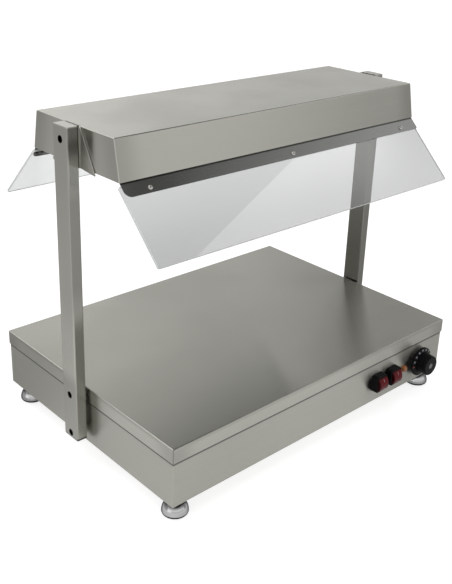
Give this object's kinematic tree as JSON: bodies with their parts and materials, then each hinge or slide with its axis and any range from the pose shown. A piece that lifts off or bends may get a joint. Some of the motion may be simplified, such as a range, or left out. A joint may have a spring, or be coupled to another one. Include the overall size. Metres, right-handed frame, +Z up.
{
  "type": "food warmer with gantry",
  "caption": "Stainless heated serving plate on a low base, with a lamp canopy on box posts, sloping clear shields, rocker switches, a thermostat knob and levelling bell feet",
  "frame": {"origin": "on the floor under the middle of the overall box, with the feet screwed in", "axes": "+X along the length to the user's right, -Y towards the control face, +Z up"},
  "size_m": [0.748, 0.5512, 0.601],
  "materials": {
    "stainless_steel": "brushed",
    "chromed_steel": "polished",
    "bright_fastener": "satin",
    "plain_steel": "plain",
    "polished_aluminium": "polished",
    "clear_sheet": "clear",
    "quartz_glass": "clear",
    "ceramic": "glazed",
    "mineral_board": "matt",
    "black_moulding": "satin",
    "black_knob": "satin",
    "red_rocker": "gloss",
    "amber_lens": "gloss",
    "soft_washer": "matt"
  },
  "bodies": {
    "warmer": {"top_plate": "stainless_steel", "base_skirt": "stainless_steel", "bottom_plate": "stainless_steel", "post_left": "stainless_steel", "post_right": "stainless_steel", "post_top_caps": "stainless_steel", "gusset_left": "stainless_steel", "gusset_right": "stainless_steel", "canopy": "stainless_steel", "shield_rail_front": "stainless_steel", "shield_rail_rear": "stainless_steel", "shield_screws": "bright_fastener", "shield_nuts": "bright_fastener", "bottom_screws": "bright_fastener", "post_bolts": "bright_fastener", "post_nuts": "bright_fastener", "head_bolts": "bright_fastener", "head_nuts": "bright_fastener", "gusset_screws": "bright_fastener", "thermostat_screws": "bright_fastener", "element_studs": "bright_fastener", "element_nuts": "bright_fastener", "insulation_washers": "bright_fastener", "foot_plates": "plain_steel", "foot_nuts": "plain_steel", "post_spacers": "plain_steel", "element_clamps": "plain_steel", "plate_element": "plain_steel", "thermostat_capillary": "plain_steel", "reflector_standoffs": "plain_steel", "lamp_guard": "plain_steel", "pilot_nut": "plain_steel", "reflector": "polished_aluminium", "shield_front": "clear_sheet", "shield_rear": "clear_sheet", "lamp_left": "quartz_glass", "lamp_right": "quartz_glass", "lamp_holders": "ceramic", "insulation_slab": "mineral_board", "switch_housing_plate": "black_moulding", "switch_housing_lamps": "black_moulding", "pilot_body": "black_moulding", "thermostat_body": "black_moulding", "post_foot_caps": "black_moulding", "gland_body": "black_moulding", "gland_cap": "black_moulding", "gland_locknut": "black_moulding", "terminal_block": "black_moulding", "pilot_lens": "amber_lens", "shield_washers": "soft_washer", "wire_bushes": "soft_washer", "lamp_cable": "soft_washer"},
    "knob": {"thermostat_knob": "black_knob", "thermostat_shaft": "plain_steel"},
    "plate_rocker": {"rocker_plate": "red_rocker"},
    "lamp_rocker": {"rocker_lamps": "red_rocker"},
    "front_left_foot": {"foot_front_left": "chromed_steel"},
    "front_right_foot": {"foot_front_right": "chromed_steel"},
    "rear_left_foot": {"foot_rear_left": "chromed_steel"},
    "rear_right_foot": {"foot_rear_right": "chromed_steel"}
  },
  "joints": [
    {"name": "thermostat_turn", "type": "hinge", "parent": "warmer", "child": "knob", "pos_m": [0.277, -0.2424, 0.0775], "axis": [0, 1, 0], "range_deg": [0, 270]},
    {"name": "plate_rocker_tip", "type": "hinge", "parent": "warmer", "child": "plate_rocker", "pos_m": [0.1483, -0.2506, 0.0775], "axis": [1, 0, 0], "range_deg": [0, 18]},
    {"name": "lamp_rocker_tip", "type": "hinge", "parent": "warmer", "child": "lamp_rocker", "pos_m": [0.1906, -0.2506, 0.0775], "axis": [1, 0, 0], "range_deg": [0, 18]},
    {"name": "front_left_foot_level", "type": "slide", "parent": "warmer", "child": "front_left_foot", "axis": [0, 0, -1], "range_m": [0, 0.012]},
    {"name": "front_right_foot_level", "type": "slide", "parent": "warmer", "child": "front_right_foot", "axis": [0, 0, -1], "range_m": [0, 0.012]},
    {"name": "rear_left_foot_level", "type": "slide", "parent": "warmer", "child": "rear_left_foot", "axis": [0, 0, -1], "range_m": [0, 0.012]},
    {"name": "rear_right_foot_level", "type": "slide", "parent": "warmer", "child": "rear_right_foot", "axis": [0, 0, -1], "range_m": [0, 0.012]}
  ]
}
